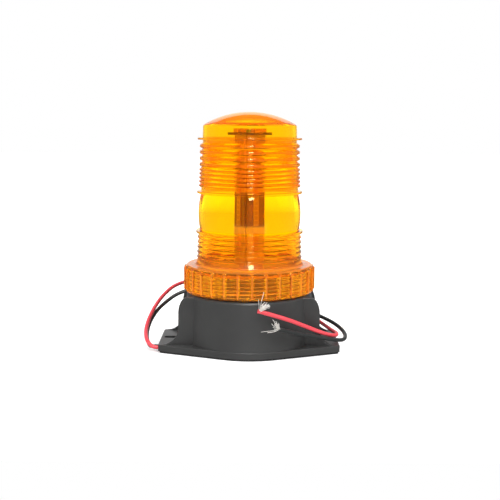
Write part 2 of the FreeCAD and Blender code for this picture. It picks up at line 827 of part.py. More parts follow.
def all_parts():
    """Every node of the light with its shape."""
    parts = {
        "mounting_pad": mounting_pad(),
        "base_housing": base_housing(),
        "bottom_cover": bottom_cover(),
        "cover_screws": cover_screws(),
        "lead_grommet": lead_grommet(),
        "driver_board": driver_board(),
        "board_screws": board_screws(),
        "input_capacitor": input_capacitor(),
        "filter_inductor": filter_inductor(),
        "driver_chips": driver_chips(),
        "lead_terminal": lead_terminal(),
        "column_post": column_post(),
        "post_screws": post_screws(),
        "top_board": top_board(),
        "top_leds": top_leds(),
        "lens_seal": lens_seal(),
        "lens": lens(),
        "red_lead_inner": inner_lead(red_exit_y, lead_radius),
        "black_lead_inner": inner_lead(black_exit_y, lead_radius),
        "red_lead": free_lead("red_lead", red_exit_y, red_lead_route),
        "black_lead": free_lead("black_lead", black_exit_y, black_lead_route),
        "red_lead_strands": bare_strands(red_lead_route, red_strand_lean),
        "black_lead_strands": bare_strands(black_lead_route, black_strand_lean),
    }
    for index in range(led_board_count):
        parts[f"led_board_{index + 1}"] = led_board(index)
        parts[f"led_row_{index + 1}"] = led_row(index)
    return parts


os.makedirs("parts", exist_ok=True)
for node, shape in all_parts().items():
    shape.exportStep(f"parts/{node}.step")
    print(node, len(shape.Solids), shape.isValid(), round(shape.Volume, 1))
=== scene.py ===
import math

import bpy
import numpy as np
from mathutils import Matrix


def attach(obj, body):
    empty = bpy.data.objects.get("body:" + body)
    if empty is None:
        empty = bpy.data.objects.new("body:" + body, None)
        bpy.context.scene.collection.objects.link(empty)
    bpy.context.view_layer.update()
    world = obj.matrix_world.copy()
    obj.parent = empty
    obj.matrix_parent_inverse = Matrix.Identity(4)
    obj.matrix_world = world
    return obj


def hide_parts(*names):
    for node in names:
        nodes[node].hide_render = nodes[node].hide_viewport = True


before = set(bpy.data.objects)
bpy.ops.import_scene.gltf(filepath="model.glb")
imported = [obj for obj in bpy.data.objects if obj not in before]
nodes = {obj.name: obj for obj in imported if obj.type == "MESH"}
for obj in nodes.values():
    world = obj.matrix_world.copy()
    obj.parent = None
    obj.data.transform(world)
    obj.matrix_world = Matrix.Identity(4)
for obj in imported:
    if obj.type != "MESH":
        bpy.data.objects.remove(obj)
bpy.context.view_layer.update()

# Mounting pad and rubber pieces
# The pad is a thin die-cut gasket of soft black rubber under the flange, and the lead grommet is
# the same compound with a dusty matt skin. The ring under the lens is pale silicone.


class Wire:
    """One output socket of a node tree; sums and products of wires add Math nodes."""

    def __init__(self, tree, socket=None):
        self.tree = tree
        self.socket = socket

    def node(self, kind, settings, inputs, output=0):
        """Add a node: its settings first, then a value or a wire for each of its sockets."""
        made = self.tree.nodes.new("ShaderNode" + kind)
        for name, value in settings.items():
            setattr(made, name, value)
        for key, value in inputs.items():
            if isinstance(value, Wire):
                self.tree.links.new(value.socket, made.inputs[key])
            else:
                made.inputs[key].default_value = value
        return Wire(self.tree, made.outputs[output])

    def math(self, operation, first, second=0.0):
        return self.node("Math", {"operation": operation}, {0: first, 1: second})

    def __add__(self, other):
        return self.math("ADD", self, other)

    def __radd__(self, other):
        return self.math("ADD", other, self)

    def __sub__(self, other):
        return self.math("SUBTRACT", self, other)

    def __rsub__(self, other):
        return self.math("SUBTRACT", other, self)

    def __mul__(self, other):
        return self.math("MULTIPLY", self, other)

    def __rmul__(self, other):
        return self.math("MULTIPLY", other, self)

    def __abs__(self):
        return self.math("ABSOLUTE", self)

    def least(self, other):
        return self.math("MINIMUM", self, other)

    def most(self, other):
        return self.math("MAXIMUM", self, other)

    def fraction(self):
        return self.math("FRACT", self)

    def coordinate(self, axis):
        """X, Y or Z of a position."""
        return self.node("SeparateXYZ", {}, {0: self}, axis)

    def from_axis(self):
        """Distance of a position from the upright axis: the root of x squared plus y squared."""
        x = self.coordinate("X")
        y = self.coordinate("Y")
        return self.math("SQRT", x * x + y * y)

    def noise(self, scale, detail=2.0):
        """Noise from 0 to 1 with the given number of blobs per metre."""
        return self.node("TexNoise", {}, {"Vector": self, "Scale": scale, "Detail": detail}, "Fac")

    def blend(self, dark, light):
        """Colour between two ends, by this wire's value; 6, 7 and 2 are the Mix node's colour sockets."""
        return self.node("Mix", {"data_type": "RGBA"}, {0: self, 6: (*dark, 1.0), 7: (*light, 1.0)}, 2)

    def band(self, low, high):
        """0 below low, 1 above high, and a smooth step between them."""
        settings = {"interpolation_type": "SMOOTHSTEP"}
        return self.node("MapRange", settings, {"Value": self, "From Min": low, "From Max": high})

    def bump(self, strength, distance):
        """Surface normal of this wire's value taken as a height."""
        inputs = {"Strength": strength, "Distance": distance, "Height": self}
        return self.node("Bump", {}, inputs, "Normal")

    def feed(self, shader, socket):
        self.tree.links.new(self.socket, shader.inputs[socket])


def new_material(name, constants):
    """A material with fixed values on its shader; returns it, the shader and Object coordinates."""
    material = bpy.data.materials.new(name)
    material.use_nodes = True
    tree = material.node_tree
    shader = tree.nodes["Principled BSDF"]
    for socket, value in constants.items():
        shader.inputs[socket].default_value = value
    return material, shader, Wire(tree).node("TexCoord", {}, {}, "Object")


def dress(material, *names):
    """Give CAD nodes a material in place of their packed one."""
    for name in names:
        slots = nodes[name].data.materials
        slots.clear()
        slots.append(material)


rubber, shader, place = new_material("black_rubber", {"Specular IOR Level": 0.35})
dust = place.noise(260.0, 4.0)
dust.blend((0.016, 0.016, 0.017), (0.036, 0.036, 0.037)).feed(shader, "Base Color")
(0.62 + dust * 0.3).feed(shader, "Roughness")
place.noise(1800.0).bump(0.25, 0.0002).feed(shader, "Normal")
dress(rubber, "mounting_pad", "lead_grommet")

silicone, shader, place = new_material("pale_silicone", {"Specular IOR Level": 0.4})
bloom = place.noise(320.0, 3.0)
bloom.blend((0.86, 0.8, 0.72), (0.92, 0.88, 0.82)).feed(shader, "Base Color")
(0.5 + bloom * 0.2).feed(shader, "Roughness")
dress(silicone, "lens_seal")

# Base housing and bottom cover
# One charcoal moulding carries the ears, gussets, drum and neck; a plate of the same plastic
# closes it from below. The tool's spark-eroded skin gives a fine even grain.
plastic, shader, place = new_material("charcoal_plastic", {"Specular IOR Level": 0.3})
grain = place.noise(2600.0, 3.0)
mottle = place.noise(45.0, 3.0)
mottle.blend((0.036, 0.036, 0.036), (0.048, 0.048, 0.047)).feed(shader, "Base Color")
(0.28 + grain * 0.12 + mottle * 0.06).feed(shader, "Roughness")
grain.bump(0.3, 0.00012).feed(shader, "Normal")
dress(plastic, "base_housing", "bottom_cover")

# Neck thread
# Two-start screw ridges moulded round the neck of the housing, in the same plastic. They are
# a sleeve whose outside rises into ridges, sunk a little into the wall of the neck.
MM = 0.001
NECK_RADIUS = 37.0
SLEEVE_PROUD = 0.03
SLEEVE_SUNK = 0.4
THREAD_LEAD = 4.7
THREAD_PITCH = 2.35
THREAD_START, THREAD_END = 37.4, 49.6
THREAD_RUN_OUT = 1.2
THREAD_ROWS, THREAD_COLUMNS = 64, 180
RIDGE_HEIGHT = 0.74
RIDGE_HALF_FOOT = 0.52
RIDGE_FLANK = 0.26
SHARP_ANGLE = math.radians(50)


def smooth(share):
    """Smooth step from 0 to 1: three times the square less twice the cube."""
    return share * share * (3 - 2 * share)


def off_turn(height, angle):
    """Height above or below the nearest turn of the thread, which climbs by the lead in one turn."""
    phase = (height - THREAD_LEAD * angle / (2 * np.pi)) / THREAD_PITCH
    return np.abs(phase - np.round(phase)) * THREAD_PITCH


def ridge(height, angle):
    """Screw ridge from 0 to 1: 1 near a turn of the thread, with a smooth flank on each side."""
    return smooth(np.clip((RIDGE_HALF_FOOT - off_turn(height, angle)) / RIDGE_FLANK, 0.0, 1.0))


def fade_ends(height, start, end, length):
    """Smooth rise from 0 at start and fall to 0 at end, each over the given length."""
    return smooth(np.clip((height - start) / length, 0.0, 1.0) * np.clip((end - height) / length, 0.0, 1.0))


def turned_piece(name, radius, height, angle, closed_loop, material):
    """Mesh of a surface of revolution: point (i, j) is at radius[i, j], height[i, j] and angle[j].

    With closed_loop the last row joins the first; without it both end rows meet on the axis.
    """
    rows, columns = radius.shape
    points = np.stack([radius * np.cos(angle), radius * np.sin(angle), height], axis=-1) * MM
    points = points.reshape(-1, 3)
    index = np.arange(rows * columns).reshape(rows, columns)
    after = np.roll(index, -1, axis=1)
    below = np.roll(index, -1, axis=0)
    corner = np.roll(below, -1, axis=1)
    quads = np.stack([index, below, corner, after], axis=-1)
    if closed_loop:
        faces = quads.reshape(-1, 4).tolist()
    else:
        poles = np.array([[0, 0, height[0, 0]], [0, 0, height[-1, 0]]]) * MM
        top, bottom = rows * columns, rows * columns + 1
        points = np.concatenate([points, poles])
        faces = quads[:-1].reshape(-1, 4).tolist()
        first = np.stack([np.full(columns, top), index[0], after[0]], axis=-1)
        last = np.stack([np.full(columns, bottom), after[-1], index[-1]], axis=-1)
        faces += first.tolist() + last.tolist()
    mesh = bpy.data.meshes.new(name)
    mesh.from_pydata(points.tolist(), [], faces)
    mesh.polygons.foreach_set("use_smooth", np.ones(len(faces), dtype=bool))
    mesh.set_sharp_from_angle(angle=SHARP_ANGLE)
    mesh.materials.append(material)
    piece = bpy.data.objects.new(name, mesh)
    bpy.context.scene.collection.objects.link(piece)
    return piece


thread_height = np.linspace(THREAD_START, THREAD_END, THREAD_ROWS)
thread_angle = np.linspace(0, 2 * np.pi, THREAD_COLUMNS, endpoint=False)
thread_z, thread_turn = np.meshgrid(thread_height, thread_angle, indexing="ij")
thread_fade = fade_ends(thread_z, THREAD_START, THREAD_END, THREAD_RUN_OUT)
thread_radius = NECK_RADIUS + SLEEVE_PROUD + RIDGE_HEIGHT * ridge(thread_z, thread_turn) * thread_fade
sleeve_inside = np.full((1, THREAD_COLUMNS), NECK_RADIUS - SLEEVE_SUNK)
sleeve_radius = np.concatenate([thread_radius, sleeve_inside, sleeve_inside])[::-1]
sleeve_z = np.concatenate([thread_z, thread_z[-1:], thread_z[:1]])[::-1]
neck_thread = turned_piece("neck_thread", sleeve_radius, sleeve_z, thread_angle, True, plastic)
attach(neck_thread, "base")

# Screws and post
# Zinc-plated steel screws hold the bottom cover, the driver board and the top board, and a
# turned brass standoff stands in the middle of the light column.
zinc, shader, place = new_material("zinc_steel", {"Metallic": 1.0})
spangle = place.noise(420.0, 3.0)
spangle.blend((0.46, 0.46, 0.45), (0.66, 0.66, 0.64)).feed(shader, "Base Color")
(0.26 + spangle * 0.2).feed(shader, "Roughness")
dress(zinc, "cover_screws", "board_screws", "post_screws")

brass, shader, place = new_material("turned_brass", {"Metallic": 1.0})
lathe = {"Vector": place, "Scale": 900.0, "Distortion": 2.0}
tool_marks = place.node("TexWave", {"bands_direction": "Z"}, lathe, "Fac")
tool_marks.blend((0.52, 0.38, 0.16), (0.7, 0.54, 0.26)).feed(shader, "Base Color")
(0.24 + tool_marks * 0.16).feed(shader, "Roughness")
dress(brass, "column_post")

# Driver board and its parts
# A round glass-fibre board with a pale solder mask sits on a ledge in the neck. Its parts hang
# under it: a sleeved capacitor, a ferrite inductor, epoxy chips and a two-way terminal.
mask, shader, place = new_material("solder_mask", {"Coat Weight": 0.2})
copper = place.node("TexVoronoi", {"feature": "DISTANCE_TO_EDGE"}, {"Vector": place, "Scale": 260.0})
track = 1 - copper.band(0.05, 0.09)
weave = place.noise(1200.0)
(track * 0.7 + weave * 0.3).blend((0.7, 0.6, 0.5), (0.86, 0.8, 0.72)).feed(shader, "Base Color")
(0.3 + weave * 0.2).feed(shader, "Roughness")
track.bump(0.2, 0.00005).feed(shader, "Normal")
dress(mask, "driver_board")

sleeve, shader, place = new_material("capacitor_sleeve", {})
shrink = place.noise(300.0)
shrink.blend((0.012, 0.014, 0.03), (0.022, 0.025, 0.05)).feed(shader, "Base Color")
(0.28 + shrink * 0.15).feed(shader, "Roughness")
dress(sleeve, "input_capacitor")

ferrite, shader, place = new_material("dark_ferrite", {})
sinter = place.noise(1500.0, 4.0)
sinter.blend((0.03, 0.03, 0.032), (0.07, 0.07, 0.072)).feed(shader, "Base Color")
(0.6 + sinter * 0.2).feed(shader, "Roughness")
sinter.bump(0.3, 0.0001).feed(shader, "Normal")
dress(ferrite, "filter_inductor")

epoxy, shader, place = new_material("chip_epoxy", {})
speckle = place.noise(3000.0, 2.0)
speckle.blend((0.016, 0.016, 0.016), (0.034, 0.034, 0.034)).feed(shader, "Base Color")
(0.55 + speckle * 0.2).feed(shader, "Roughness")
dress(epoxy, "driver_chips")

terminal, shader, place = new_material("terminal_green", {})
flow = place.noise(150.0, 3.0)
flow.blend((0.02, 0.12, 0.05), (0.035, 0.17, 0.07)).feed(shader, "Base Color")
(0.38 + flow * 0.15).feed(shader, "Roughness")
dress(terminal, "lead_terminal")

# Light column
# Four upright boards with LED bars stand round the post, closed by a brown round board with LEDs
# that shine up. The boards and bars are painted paler above and below the clear belt than behind it:
# painted light for the light that the ribs of the lens throw on them. A pair of numbers is where a soft
# edge begins and ends.
COLUMN_TURN = math.radians(30)
BAR_TOP = 0.1311
BAR_PITCH = 0.0182
BEHIND_BELT_FROM = (0.079, 0.0805)
BEHIND_BELT_TO = (0.0985, 0.1015)
PAD_FROM, PAD_TO = (0.8, 0.82), (0.95, 0.97)
PAD_HALF_WIDTH = (0.0012, 0.0014)
WINDOW_PITCH = 0.0024
WINDOW_FROM, WINDOW_TO = (0.08, 0.14), (0.86, 0.92)
WINDOW_HALF_WIDTH = (0.0011, 0.0013)


def off_middle(place):
    """Distance from the middle line of the nearer board, measured in the column's turned axes."""
    x = place.coordinate("X")
    y = place.coordinate("Y")
    first = x * math.cos(COLUMN_TURN) + y * math.sin(COLUMN_TURN)
    second = y * math.cos(COLUMN_TURN) - x * math.sin(COLUMN_TURN)
    return abs(first).least(abs(second))


def repeat_down(height, pitch):
    """Share of the way down from one repeat to the next, from 0 to 1."""
    return ((BAR_TOP - height) * (1 / pitch)).fraction()


board, shader, place = new_material("led_board", {"Coat Weight": 0.15})
height = place.coordinate("Z")
painted_light_above = height.band(*BEHIND_BELT_TO)
painted_light_below = 1 - height.band(*BEHIND_BELT_FROM)
along_pitch = repeat_down(height, BAR_PITCH)
past_bar = along_pitch.band(*PAD_FROM) - along_pitch.band(*PAD_TO)
tinned_pad = past_bar * (1 - off_middle(place).band(*PAD_HALF_WIDTH))
weave = place.noise(1400.0)
# Painted light: pale above and below the belt. The tinned pads and the weave are the board's own marks.
tone_with_painted_light = painted_light_above * 0.85 + painted_light_below * 0.7 + tinned_pad * 0.1 + weave * 0.15
tone_with_painted_light.blend((0.25, 0.036, 0.04), (1.0, 0.66, 0.42)).feed(shader, "Base Color")
(0.36 + weave * 0.2).feed(shader, "Roughness")
dress(board, "led_board_1", "led_board_2", "led_board_3", "led_board_4")

brown_mask, shader, place = new_material("top_board_mask", {"Coat Weight": 0.15})
weave = place.noise(1400.0)
weave.blend((0.2, 0.06, 0.03), (0.28, 0.1, 0.05)).feed(shader, "Base Color")
(0.36 + weave * 0.2).feed(shader, "Roughness")
dress(brown_mask, "top_board")

package, shader, place = new_material("led_package", {})
height = place.coordinate("Z")
die = repeat_down(height, WINDOW_PITCH)
window = (die.band(*WINDOW_FROM) - die.band(*WINDOW_TO)) * (1 - off_middle(place).band(*WINDOW_HALF_WIDTH))
in_belt = height.band(*BEHIND_BELT_FROM) - height.band(*BEHIND_BELT_TO)
# Painted shade: the bars are darker behind the belt, and their die windows show only there.
tone_with_painted_light = 1 - in_belt * (0.3 + window * 0.15)
tone_with_painted_light.blend((0.28, 0.09, 0.05), (0.84, 0.4, 0.26)).feed(shader, "Base Color")
(0.42 - window * 0.2).feed(shader, "Roughness")
dress(package, "led_row_1", "led_row_2", "led_row_3", "led_row_4")

lamp_body, shader, place = new_material("top_led_body", {})
moulded = place.noise(900.0)
moulded.blend((0.9, 0.3, 0.16), (0.98, 0.4, 0.22)).feed(shader, "Base Color")
(0.3 + moulded * 0.15).feed(shader, "Roughness")
dress(lamp_body, "top_leds")

# Lens
# One amber polycarbonate moulding: grip collar with a two-start thread inside, flat shoulder,
# ribbed zones round a clear belt, crown and dome. It screws over the neck on to the seal.
COLLAR_FOOT, LIP_TOP, WALL_FOOT, WALL_HEAD = 36.9, 37.3, 37.6, 53.0
COLLAR_BORE, LIP_RADIUS, COLLAR_RADIUS, SHOULDER_RADIUS = 38.6, 40.3, 40.6, 39.6
BORE_START, BORE_END, BORE_TOP = 37.3, 51.2, 51.4
BORE_RUN_OUT = 0.8
VEE_ROOT = 0.4
GRIP_COUNT = 30
GRIP_PHASE = 8.5
GRIP_HALF_WIDTH = 1.6
GRIP_POWER = 3
GRIP_HEIGHT = 1.4
GRIP_SLOPE = 0.7
WALL_TOLERANCE = 0.01
SEAL_TOP = 52.0
SHOULDER_TOP = 54.0
LENS_FOOT = 33.8
LENS_SLOPE = math.tan(math.radians(1.73))
LENS_WALL = 2.9
FOOT_FILLET = 2.5
LOWER_START, LOWER_END = 56.5, 74.2
LOWER_RIB_START, LOWER_RIB_COUNT = 57.35, 5
LOWER_RIB_PITCH, LOWER_RIB_GAP, LOWER_RIB_DEPTH = 3.15, 1.45, 0.75
RIM_PROUD = 1.0
BELT_START, BELT_END = 75.6, 99.2
BELT_ROOT = 1.5
BELT_BULGE = 1.3
UPPER_RIM_TOP = 100.6
GROOVE_DEPTH = 1.5
FINE_START, FINE_RIB_COUNT = 102.8, 5
FINE_RIB_PITCH, FINE_RIB_GAP, FINE_RIB_DEPTH = 2.5, 0.2, 1.2
COARSE_START, COARSE_RIB_COUNT = 115.3, 4
COARSE_RIB_PITCH, COARSE_RIB_GAP, COARSE_RIB_DEPTH = 3.85, 0.3, 1.8
RIB_POWER = 3.0
UPPER_END, CROWN_RIM_TOP, CROWN_EDGE, CROWN_TOP = 132.6, 133.8, 141.4, 142.4
CROWN_RIM_PROUD = 1.5
CROWN_INSET = 1.6
CROWN_WALL = 2.4
DOME_EDGE = 1.0
DOME_TOP = 150.0
DOME_WALL = 2.3
DOME_END_TURN = 0.006
SHOULDER_EASE, FIN_EASE, BORE_EASE = 0.25, 0.2, 0.3
EASE_SHARE = 0.4
EASE_ROWS, FILLET_ROWS, BELT_ROWS, BORE_ROWS, DOME_ROWS, INNER_DOME_ROWS = 3, 7, 17, 84, 15, 14


def lens_line(z):
    """Radius of the rib crests, which the moulding's draft narrows upwards."""
    return LENS_FOOT - (z - SHOULDER_TOP) * LENS_SLOPE


def ribs(start, count, pitch, gap, depth):
    """Ridges upwards, one in the middle of each pitch, with plain wall over the gap between them.

    Over a ridge x goes from -1 to 1, and the depth below the crest line is |x| to a power.
    """
    x = np.array([-1.0, -0.7, -0.4, -0.15, 0.0, 0.15, 0.4, 0.7, 1.0])
    middle = start + pitch * (np.arange(count)[:, None] + 0.5)
    z = (middle + (pitch - gap) / 2 * x).ravel()
    sunk = np.tile(depth * np.abs(x) ** RIB_POWER, count)
    return np.stack([lens_line(z) - sunk, z], axis=1)


def bowed(start, end, bow, count):
    """Points on a line between two points, bowed out sideways in the middle by a parabola."""
    start, end = np.array(start), np.array(end)
    share = np.linspace(0, 1, count)[:, None]
    across = np.array([end[1] - start[1], start[0] - end[0]]) / np.linalg.norm(end - start)
    return start + (end - start) * share + across * (4 * bow * share * (1 - share))


def cap(rim_radius, rim_z, top_z, count):
    """Points of a shallow spherical dome from its rim to just short of the axis."""
    rise = top_z - rim_z
    sphere = (rim_radius ** 2 + rise ** 2) / (2 * rise)
    turn = np.linspace(math.asin(rim_radius / sphere), DOME_END_TURN, count)
    return np.stack([sphere * np.sin(turn), top_z - sphere * (1 - np.cos(turn))], axis=1)


def eased(corners, radius):
    """Round each inner corner of a run of points: a quadratic curve that leaves both sides as tangents.

    The curve starts and ends at the radius from its corner, or at a share of the side if that is less.
    """
    corners = np.asarray(corners)
    here = corners[1:-1]
    share = np.linspace(0, 1, EASE_ROWS)[None, :, None]
    ends = []
    for side in (corners[:-2] - here, corners[2:] - here):
        length = np.linalg.norm(side, axis=1)[:, None]
        ends.append(here + side / length * np.minimum(radius, EASE_SHARE * length))
    first, last = ends[0][:, None], ends[1][:, None]
    curve = (1 - share) ** 2 * first + 2 * share * (1 - share) * here[:, None] + share ** 2 * last
    return np.concatenate([corners[:1], curve.reshape(-1, 2), corners[-1:]])


def vee(height, angle):
    """Screw thread cut with straight 45 degree flanks: out by 0.4 at its roots, in by 0.8 at its crests."""
    return VEE_ROOT - off_turn(height, angle)


collar_out = [(COLLAR_BORE, COLLAR_FOOT), (LIP_RADIUS, COLLAR_FOOT), (LIP_RADIUS, LIP_TOP)]
wall_heights = (WALL_FOOT, WALL_FOOT + GRIP_SLOPE, WALL_HEAD - GRIP_SLOPE, WALL_HEAD)
collar_out += [(COLLAR_RADIUS, z) for z in wall_heights]
collar_out += [(SHOULDER_RADIUS, SHOULDER_TOP)]
fillet_turn = np.linspace(0, np.pi / 2, FILLET_ROWS)
fillet_middle = lens_line(LOWER_START) + FOOT_FILLET
fillet_radius = fillet_middle - FOOT_FILLET * np.sin(fillet_turn)
fillet = np.stack([fillet_radius, LOWER_START - FOOT_FILLET * np.cos(fillet_turn)], axis=1)
lower_ribs = ribs(LOWER_RIB_START, LOWER_RIB_COUNT, LOWER_RIB_PITCH, LOWER_RIB_GAP, LOWER_RIB_DEPTH)
fine_ribs = ribs(FINE_START, FINE_RIB_COUNT, FINE_RIB_PITCH, FINE_RIB_GAP, FINE_RIB_DEPTH)
coarse_ribs = ribs(COARSE_START, COARSE_RIB_COUNT, COARSE_RIB_PITCH, COARSE_RIB_GAP, COARSE_RIB_DEPTH)
lower_wall = lens_line(LOWER_END) - LOWER_RIB_DEPTH
lower_rim = lens_line(BELT_START) + RIM_PROUD
belt_foot = (lens_line(BELT_START) - BELT_ROOT, BELT_START)
belt_head = (lens_line(BELT_END) - BELT_ROOT, BELT_END)
upper_rim = lens_line(BELT_END) + RIM_PROUD
groove = lens_line(FINE_START) - GROOVE_DEPTH
upper_wall = lens_line(UPPER_END) - COARSE_RIB_DEPTH
crown_rim = lens_line(CROWN_RIM_TOP) + CROWN_RIM_PROUD
crown_foot = (lens_line(CROWN_RIM_TOP) - CROWN_INSET, CROWN_RIM_TOP)
crown = lens_line(CROWN_TOP) - CROWN_INSET
shoulder_run = np.concatenate([np.array(collar_out), fillet[:1]])
lower_fin = [(lower_wall, LOWER_END), (lower_rim, LOWER_END), (lower_rim, BELT_START), belt_foot]
upper_fin = [belt_head, (upper_rim, BELT_END), (upper_rim, UPPER_RIM_TOP), (groove, UPPER_RIM_TOP)]
upper_fin += [(groove, FINE_START), tuple(fine_ribs[0])]
crown_run = [tuple(coarse_ribs[-1]), (upper_wall, UPPER_END), (crown_rim, UPPER_END)]
crown_run += [(crown_rim, CROWN_RIM_TOP), crown_foot, (crown, CROWN_EDGE), (crown - DOME_EDGE, CROWN_TOP)]
outside = np.concatenate(
    [
        eased(shoulder_run, SHOULDER_EASE)[1:],
        fillet[1:],
        lower_ribs,
        eased(lower_fin, FIN_EASE)[:-1],
        bowed(belt_foot, belt_head, BELT_BULGE, BELT_ROWS),
        eased(upper_fin, FIN_EASE)[1:-1],
        fine_ribs,
        coarse_ribs,
        eased(crown_run, FIN_EASE)[1:-1],
        cap(crown - DOME_EDGE, CROWN_TOP, DOME_TOP, DOME_ROWS),
    ]
)
inner_rim = crown - CROWN_WALL
inner_foot = lens_line(SEAL_TOP) - LENS_WALL
inside_dome = cap(inner_rim, CROWN_EDGE, DOME_TOP - DOME_WALL, INNER_DOME_ROWS)[::-1]
inner_wall = [(inner_rim, CROWN_EDGE), (inner_foot, SEAL_TOP)]
inner_wall += [(COLLAR_BORE, SEAL_TOP), (COLLAR_BORE, BORE_TOP)]
inside = np.concatenate([inside_dome[:-1], eased(inner_wall, BORE_EASE)])
bore = np.stack([np.full(BORE_ROWS, COLLAR_BORE), np.linspace(BORE_START, BORE_END, BORE_ROWS)], axis=1)
profile = np.concatenate([outside[::-1], np.array([(COLLAR_BORE, COLLAR_FOOT)]), bore, inside[::-1]])
profile_radius, profile_z = profile.T

grip_offset = np.array([-6.0, -3.6, -2.1, -1.5, -0.8, 0.0, 0.8, 1.5, 2.1, 3.6])
grip_center = GRIP_PHASE + 360.0 / GRIP_COUNT * np.arange(GRIP_COUNT)
lens_angle = np.radians(np.add.outer(grip_center, grip_offset).ravel())
grip_shape = np.clip(1 - (np.abs(grip_offset) / GRIP_HALF_WIDTH) ** GRIP_POWER, 0.0, 1.0)
grip_round = np.tile(grip_shape, GRIP_COUNT)
on_wall = profile_radius > COLLAR_RADIUS - WALL_TOLERANCE
grip_foot = np.clip((profile_z - WALL_FOOT) / GRIP_SLOPE, 0.0, 1.0)
grip_head = np.clip((WALL_HEAD - profile_z) / GRIP_SLOPE, 0.0, 1.0)
grips = GRIP_HEIGHT * np.outer(on_wall * grip_foot * grip_head, grip_round)

lens_z, lens_turn = np.meshgrid(profile_z, lens_angle, indexing="ij")
on_bore = np.isclose(profile_radius, COLLAR_BORE)[:, None]
bore_thread = on_bore * fade_ends(lens_z, BORE_START, BORE_END, BORE_RUN_OUT) * vee(lens_z, lens_turn)
lens_radius = profile_radius[:, None] + grips + bore_thread

# The one even amber is painted palest in the clear belt and the crown, deeper over the ribs and deepest on
# the collar: painted light and shade for how light runs through the wall. An opaque orange layer mixed over
# the collar is painted glow, most on its shoulder and grips, and fades out up the foot. Pairs are soft
# edges again, in metres.
COLLAR_TO = (0.0515, 0.0535)
SHOULDER_FROM = (0.0528, 0.0538)
PAINTED_GLOW_TO = (0.0542, 0.0565)
FOOT_FROM = (0.055, 0.057)
PAINTED_FOOT_GLOW_TO = (0.0565, 0.064)
BELT_FROM, BELT_TO = (0.0745, 0.076), (0.0989, 0.1004)
UPPER_RIBS_FROM, UPPER_RIBS_TO = (0.1005, 0.103), (0.1325, 0.135)
CROWN_FROM = (0.1335, 0.135)
GRIP_CREST = (0.0412, 0.0418)
glass = {"Transmission Weight": 1.0, "IOR": 1.5, "Specular Tint": (1.0, 0.82, 0.36, 1.0)}
amber, shader, place = new_material("amber_polycarbonate", glass)
level = place.coordinate("Z")
from_belt = level.band(*BELT_FROM)
half_clear = (level.band(*FOOT_FROM) - from_belt) * 0.25
clear = from_belt - level.band(*BELT_TO) + level.band(*CROWN_FROM) + half_clear
in_collar = 1 - level.band(*COLLAR_TO)
# Painted light and shade: one amber, painted paler in the belt and crown and deeper on the ribs and collar.
tone_with_painted_light = 0.3 + clear * 0.7 - in_collar * 0.3
tone_with_painted_light.blend((1.0, 0.45, 0.003), (1.0, 0.71, 0.003)).feed(shader, "Base Color")
ripple = place.noise(70.0, 2.0)
upper_ribbed = level.band(*UPPER_RIBS_FROM) - level.band(*UPPER_RIBS_TO)
(0.05 + ripple * 0.04 - clear * 0.03 + upper_ribbed * 0.08).feed(shader, "Roughness")
ripple.bump(0.01, 0.0004).feed(shader, "Normal")
on_grip = place.from_axis().band(*GRIP_CREST)
on_shoulder = level.band(*SHOULDER_FROM)
# Painted glow: share of an opaque orange layer on the foot, shoulder and grips that stands in for light
# running through the collar.
painted_foot_glow = (1 - level.band(*PAINTED_FOOT_GLOW_TO)) * 0.16
painted_glow_share = painted_foot_glow + (1 - level.band(*PAINTED_GLOW_TO)) * (on_shoulder * 0.36 + on_grip * 0.24 - 0.06)
clean = Wire(amber.node_tree, shader.outputs["BSDF"])
# The opaque orange layer of the painted glow.
painted_glow_layer = place.node("BsdfPrincipled", {}, {"Base Color": (1.0, 0.3, 0.03, 1.0), "Roughness": 0.25}, "BSDF")
tint = place.node("VolumeAbsorption", {}, {"Color": (1.0, 0.978, 0.0, 1.0), "Density": 900.0}, "Volume")
output = amber.node_tree.nodes["Material Output"]
place.node("MixShader", {}, {0: painted_glow_share, 1: clean, 2: painted_glow_layer}, "Shader").feed(output, "Surface")
tint.feed(output, "Volume")

lens = turned_piece("lens_moulding", lens_radius, lens_z, lens_angle, False, amber)
even = lens.modifiers.new("even_normals", "WEIGHTED_NORMAL")
even.keep_sharp = True
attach(lens, "lens")
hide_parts("lens")

# Leads
# Two stranded hook-up wires with soft insulation, 2.5 mm thick. They leave the groove under the
# left ear, go round the back of the base and come forward over the right ear.
LEAD_DIAMETER = 0.0025
RED_ROUTE = [
    (-57.0, -17.9, 2.7), (-60.6, -17.9, 2.7), (-64.0, -15.8, 5.6), (-66.3, -6.8, 7.9), (-67.1, 3.9, 10.8),
    (-66.1, 15.1, 15.2), (-63.0, 25.3, 21.2), (-58.0, 33.3, 27.3), (-50.5, 40.7, 32.8), (-36.5, 45.8, 35.4),
    (-21.0, 48.0, 34.0), (-4.0, 49.0, 30.5), (13.0, 48.5, 25.5), (29.5, 45.0, 18.5), (42.5, 37.0, 11.8),
    (50.5, 25.0, 8.4), (54.8, 12.0, 7.4), (57.4, -1.0, 8.2), (54.8, -13.0, 9.4), (46.0, -23.5, 13.6),
    (34.0, -32.5, 20.3), (20.5, -40.5, 27.0), (5.4, -45.0, 32.0),
]
BLACK_ROUTE = [
    (-57.0, -15.1, 2.7), (-60.6, -15.1, 2.7), (-63.2, -12.2, 2.0), (-66.1, -2.6, 4.9), (-66.9, 8.1, 8.3),
    (-65.5, 17.9, 12.8), (-62.3, 26.6, 17.3), (-57.2, 33.4, 21.4), (-49.5, 38.6, 26.6), (-36.5, 41.6, 30.2),
    (-22.0, 43.8, 29.4), (-5.5, 44.5, 26.5), (11.0, 43.5, 22.8), (27.0, 39.8, 19.0), (40.5, 32.5, 15.6),
    (51.0, 23.0, 13.2), (58.5, 11.5, 11.0), (62.6, -1.0, 8.4), (61.0, -13.0, 6.6), (51.5, -21.5, 9.2),
    (40.0, -29.5, 13.2), (28.6, -37.4, 16.6), (17.7, -43.8, 20.7),
]
